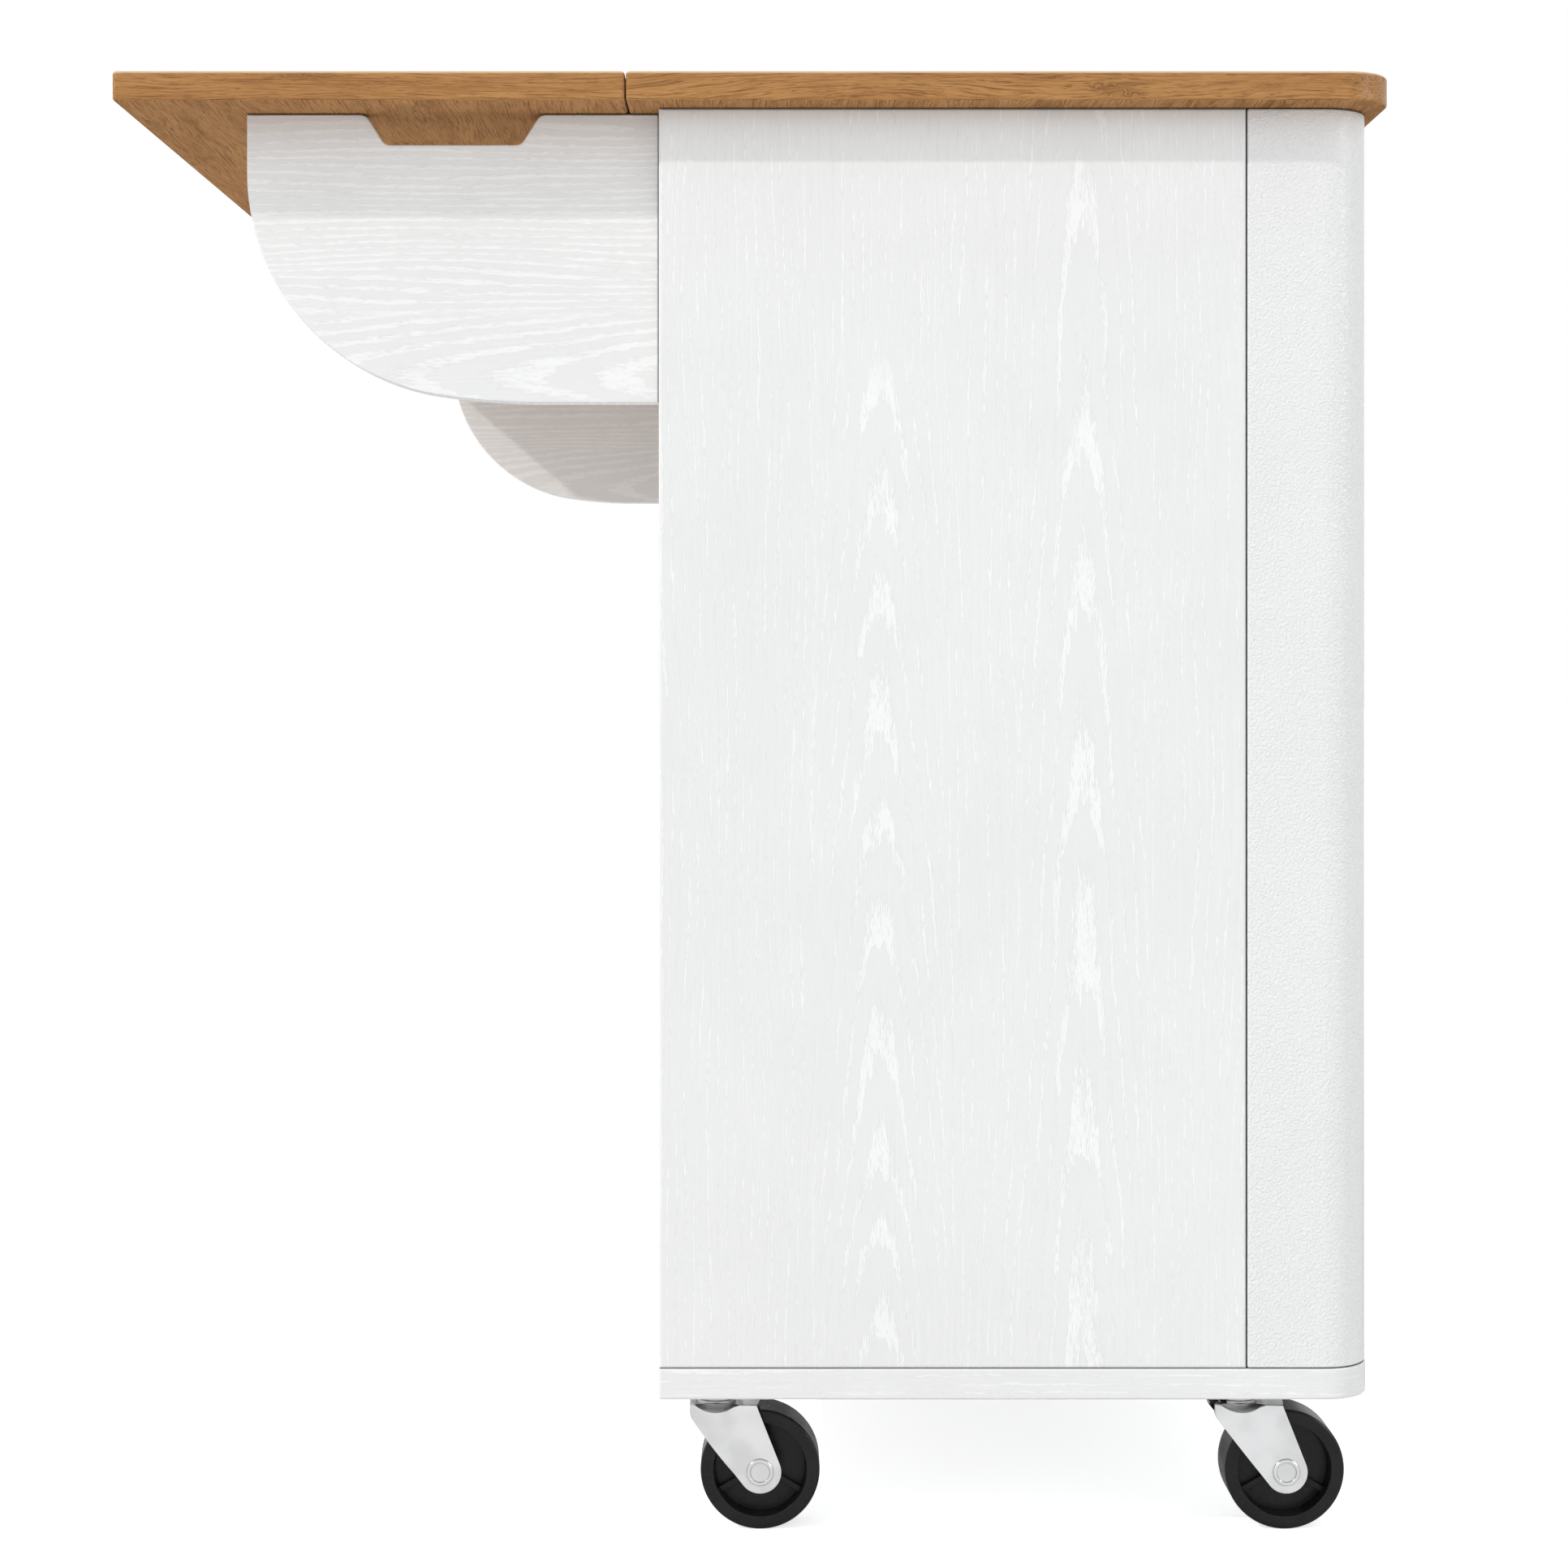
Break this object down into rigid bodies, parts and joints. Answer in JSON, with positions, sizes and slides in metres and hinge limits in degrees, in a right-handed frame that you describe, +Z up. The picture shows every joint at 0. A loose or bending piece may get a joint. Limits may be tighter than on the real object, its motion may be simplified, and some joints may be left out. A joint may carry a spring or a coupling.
{
  "type": "kitchen island",
  "caption": "Rolling kitchen island with an oak-look top, a raised drop leaf on swing-out wings, drawers, doors, open shelves and braked casters.",
  "frame": {"origin": "on the floor under the middle of the bounding box", "axes": "+X along the length towards the far end, -Y towards the doors and drawers, +Y towards the drop leaf, +Z up"},
  "size_m": [1.274, 0.8076, 0.9145],
  "materials": {
    "oak_top": "golden brown oak grain, satin lacquer",
    "white_grained_board": "white foil pressed with a wood grain, satin",
    "white_textured_post": "white foil with a fine leather-like texture, satin",
    "white_front": "white foil pressed with a wood grain, satin",
    "white_inner_board": "plain white laminate, matt",
    "drawer_bottom_board": "white faced hardboard, matt",
    "zinc_steel": "zinc plated, satin",
    "handle_steel": "brushed, satin",
    "hinge_steel": "nickel plated, satin",
    "caster_steel": "bright zinc plated pressed steel",
    "wheel_black": "moulded, satin",
    "pedal_black": "moulded, satin"
  },
  "bodies": {
    "carcass": {"back_panel": "white_grained_board", "base_board": "white_grained_board", "caster_plates": "caster_steel", "centre_lower_shelf": "white_inner_board", "centre_upper_shelf": "white_inner_board", "door_hinge_plates": "hinge_steel", "drawer_runner_rails": "zinc_steel", "far_corner_post": "white_textured_post", "far_drawer_rail": "white_front", "far_end_panel": "white_grained_board", "far_partition": "white_inner_board", "far_runner_batten": "white_inner_board", "far_shelf": "white_inner_board", "leaf_hinge_plates": "hinge_steel", "near_corner_post": "white_textured_post", "near_drawer_rail": "white_front", "near_end_panel": "white_grained_board", "near_partition": "white_inner_board", "near_runner_batten": "white_inner_board", "near_shelf": "white_inner_board", "shelf_pins": "zinc_steel", "top_rail": "white_front", "wing_hinge_plates": "hinge_steel", "worktop": "oak_top"},
    "drop_leaf": {"drop_leaf": "oak_top", "leaf_hinge_leaves": "hinge_steel"},
    "near_wing": {"near_wing": "white_front", "near_wing_hinge_leaves": "hinge_steel"},
    "near_door": {"near_door": "white_front", "near_door_handle": "handle_steel", "near_door_hinge_leaves": "hinge_steel"},
    "near_drawer": {"near_drawer_front": "white_front", "near_drawer_outer_side": "white_inner_board", "near_drawer_inner_side": "white_inner_board", "near_drawer_back": "white_inner_board", "near_drawer_bottom": "drawer_bottom_board", "near_drawer_runners": "zinc_steel", "near_drawer_handle": "handle_steel"},
    "near_back_fork": {"near_back_fork": "caster_steel"},
    "near_back_wheel": {"near_back_wheel": "wheel_black"},
    "near_front_fork": {"near_front_fork": "caster_steel"},
    "near_front_wheel": {"near_front_wheel": "wheel_black"},
    "near_brake_pedal": {"near_brake_pedal": "pedal_black"},
    "far_wing": {"far_wing": "white_front", "far_wing_hinge_leaves": "hinge_steel"},
    "far_door": {"far_door": "white_front", "far_door_handle": "handle_steel", "far_door_hinge_leaves": "hinge_steel"},
    "far_drawer": {"far_drawer_front": "white_front", "far_drawer_outer_side": "white_inner_board", "far_drawer_inner_side": "white_inner_board", "far_drawer_back": "white_inner_board", "far_drawer_bottom": "drawer_bottom_board", "far_drawer_runners": "zinc_steel", "far_drawer_handle": "handle_steel"},
    "far_back_fork": {"far_back_fork": "caster_steel"},
    "far_back_wheel": {"far_back_wheel": "wheel_black"},
    "far_front_fork": {"far_front_fork": "caster_steel"},
    "far_front_wheel": {"far_front_wheel": "wheel_black"},
    "far_brake_pedal": {"far_brake_pedal": "pedal_black"}
  },
  "joints": [
    {"name": "leaf_hinge", "type": "hinge", "parent": "carcass", "child": "drop_leaf", "pos_m": [0, 0.0876, 0.8947], "axis": [1, 0, 0], "range_deg": [0, 1.5]},
    {"name": "near_wing_hinge", "type": "hinge", "parent": "carcass", "child": "near_wing", "pos_m": [-0.5779, 0.0694, 0.80495], "axis": [0, 0, -1], "range_deg": [0, 90]},
    {"name": "near_door_hinge", "type": "hinge", "parent": "carcass", "child": "near_door", "pos_m": [-0.5538, -0.38024, 0.39835], "axis": [0, 0, -1], "range_deg": [0, 110]},
    {"name": "near_drawer_slide", "type": "slide", "parent": "carcass", "child": "near_drawer", "axis": [0, -1, 0], "range_m": [0, 0.26]},
    {"name": "near_back_swivel", "type": "hinge", "parent": "carcass", "child": "near_back_fork", "pos_m": [-0.568, 0.0328, 0.0804], "axis": [0, 0, 1], "continuous": true},
    {"name": "near_back_wheel_spin", "type": "hinge", "parent": "near_back_fork", "child": "near_back_wheel", "pos_m": [-0.568, 0.0047, 0.03785], "axis": [1, 0, 0], "continuous": true},
    {"name": "near_front_swivel", "type": "hinge", "parent": "carcass", "child": "near_front_fork", "pos_m": [-0.568, -0.3, 0.0804], "axis": [0, 0, 1], "continuous": true},
    {"name": "near_front_wheel_spin", "type": "hinge", "parent": "near_front_fork", "child": "near_front_wheel", "pos_m": [-0.568, -0.3281, 0.03785], "axis": [1, 0, 0], "continuous": true},
    {"name": "near_brake_pedal_pivot", "type": "hinge", "parent": "near_front_fork", "child": "near_brake_pedal", "pos_m": [-0.568, -0.296, 0.066], "axis": [-1, 0, 0], "range_deg": [0, 15]},
    {"name": "far_wing_hinge", "type": "hinge", "parent": "carcass", "child": "far_wing", "pos_m": [0.5779, 0.0694, 0.80495], "axis": [0, 0, 1], "range_deg": [0, 90]},
    {"name": "far_door_hinge", "type": "hinge", "parent": "carcass", "child": "far_door", "pos_m": [0.5538, -0.38024, 0.39835], "axis": [0, 0, 1], "range_deg": [0, 110]},
    {"name": "far_drawer_slide", "type": "slide", "parent": "carcass", "child": "far_drawer", "axis": [0, -1, 0], "range_m": [0, 0.26]},
    {"name": "far_back_swivel", "type": "hinge", "parent": "carcass", "child": "far_back_fork", "pos_m": [0.568, 0.0328, 0.0804], "axis": [0, 0, 1], "continuous": true},
    {"name": "far_back_wheel_spin", "type": "hinge", "parent": "far_back_fork", "child": "far_back_wheel", "pos_m": [0.568, 0.0047, 0.03785], "axis": [1, 0, 0], "continuous": true},
    {"name": "far_front_swivel", "type": "hinge", "parent": "carcass", "child": "far_front_fork", "pos_m": [0.568, -0.3, 0.0804], "axis": [0, 0, 1], "continuous": true},
    {"name": "far_front_wheel_spin", "type": "hinge", "parent": "far_front_fork", "child": "far_front_wheel", "pos_m": [0.568, -0.3281, 0.03785], "axis": [1, 0, 0], "continuous": true},
    {"name": "far_brake_pedal_pivot", "type": "hinge", "parent": "far_front_fork", "child": "far_brake_pedal", "pos_m": [0.568, -0.296, 0.066], "axis": [-1, 0, 0], "range_deg": [0, 15]}
  ]
}
